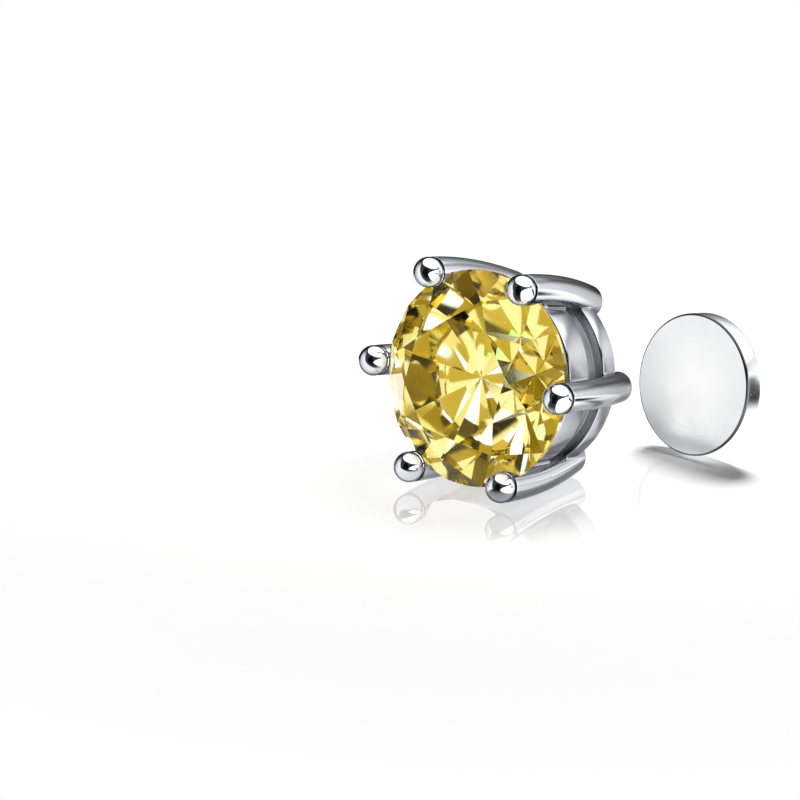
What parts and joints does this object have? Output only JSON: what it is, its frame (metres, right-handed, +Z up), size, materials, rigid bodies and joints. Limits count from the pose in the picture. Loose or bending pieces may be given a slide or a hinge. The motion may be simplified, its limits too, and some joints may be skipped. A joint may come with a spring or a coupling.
{
  "type": "magnetic stud earring",
  "caption": "Round brilliant stud in a six-prong basket with a magnet in its back, lying on its lower prongs, with its loose disc magnet on edge behind it.",
  "frame": {"origin": "middle of the footprint of the head and the disc, on the surface that they rest on", "axes": "+Z up; -Y is the way the stone faces, apart from its upward lean; +X to the right of the stone as seen from the front"},
  "size_m": [0.0114, 0.0118, 0.0086],
  "materials": {
    "polished_silver": "mirror-polished rhodium-plated silver",
    "yellow_stone": "polished facets, clear canary yellow",
    "plated_magnet": "satin nickel plate",
    "polished_nickel": "bright nickel plate with fine grain"
  },
  "bodies": {
    "root": {"setting": "polished_silver", "stone": "yellow_stone", "head_magnet": "plated_magnet", "back_magnet": "polished_nickel"}
  },
  "joints": []
}
